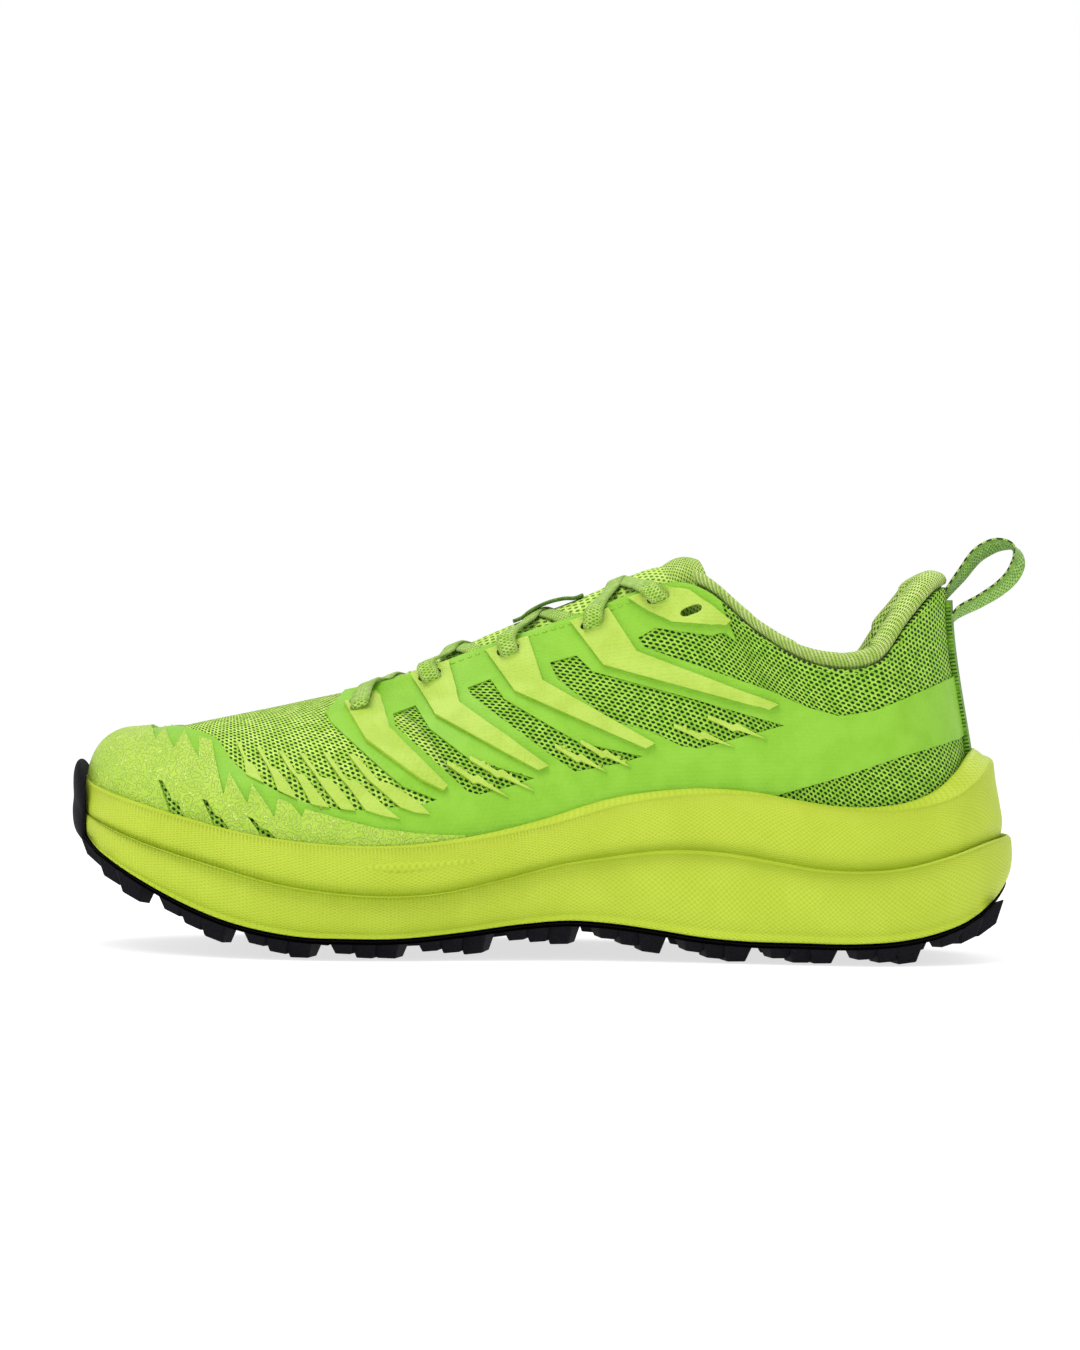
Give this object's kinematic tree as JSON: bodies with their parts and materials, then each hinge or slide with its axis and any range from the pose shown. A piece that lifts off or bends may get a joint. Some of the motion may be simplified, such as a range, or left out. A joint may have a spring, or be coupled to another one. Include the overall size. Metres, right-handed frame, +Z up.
{
  "type": "running shoe",
  "caption": "Low-cut trail running shoe for a right foot with a lugged rubber outsole, two-layer foam midsole, mesh upper with bonded film and ribs, flat lace and heel pull loop.",
  "frame": {"origin": "centre of the shoe's bounding box on the ground plane", "axes": "+X towards the heel along the shoe, +Y towards the outer (lateral) side of the foot, +Z up"},
  "size_m": [0.3022, 0.112, 0.1326],
  "materials": {
    "aglet": "clear shrunk tip",
    "foam": "open-cell foam",
    "lining": "soft spacer mesh",
    "rib_film": "moulded glossy film",
    "facing": "woven reinforcement tape",
    "film": "bonded film, satin",
    "insole_cover": "brushed knit over foam",
    "lace_weave": "flat woven lace",
    "webbing": "woven webbing",
    "midsole_foam": "soft yellow-green foam with a fine woven grain",
    "outsole_rubber": "matt black rubber",
    "lasting_board": "undyed stitched board",
    "toe_cap_film": "thick textured film",
    "stiffener": "moulded stiffener board",
    "tongue_mesh": "padded mesh",
    "knit_mesh": "open knitted mesh"
  },
  "bodies": {
    "shoe": {"aglet_lateral": "aglet", "aglet_medial": "aglet", "collar_foam": "foam", "collar_lining": "lining", "eyelet_patch_lateral": "rib_film", "eyelet_patch_medial": "rib_film", "eyestay_facing_lateral": "facing", "eyestay_facing_medial": "facing", "film_overlay": "film", "heel_counter": "stiffener", "heel_strip": "webbing", "insole": "insole_cover", "lace": "lace_weave", "lace_keeper": "webbing", "midsole_lower": "midsole_foam", "midsole_upper": "midsole_foam", "outsole": "outsole_rubber", "quarter_mesh_lateral": "knit_mesh", "quarter_mesh_medial": "knit_mesh", "rib_lateral_1": "rib_film", "rib_lateral_2": "rib_film", "rib_lateral_3": "rib_film", "rib_lateral_4": "rib_film", "rib_medial_1": "rib_film", "rib_medial_2": "rib_film", "rib_medial_3": "rib_film", "rib_medial_4": "rib_film", "strobel_board": "lasting_board", "toe_cap": "toe_cap_film", "toe_puff": "stiffener", "tongue": "tongue_mesh", "vamp_mesh": "knit_mesh"},
    "pull_loop": {"pull_loop": "webbing"},
    "tongue_top": {"tongue_top": "tongue_mesh"}
  },
  "joints": [
    {"name": "pull_loop_flex", "type": "hinge", "parent": "shoe", "child": "pull_loop", "pos_m": [0.12977, -0.0015, 0.1135], "axis": [0, 1, 0], "range_deg": [-12, 35], "stiffness_Nm_per_rad": 0.02},
    {"name": "tongue_top_flex", "type": "hinge", "parent": "shoe", "child": "tongue_top", "pos_m": [0.03767, -0.0015, 0.121], "axis": [0, 1, 0], "range_deg": [-15, 3], "stiffness_Nm_per_rad": 0.2}
  ]
}
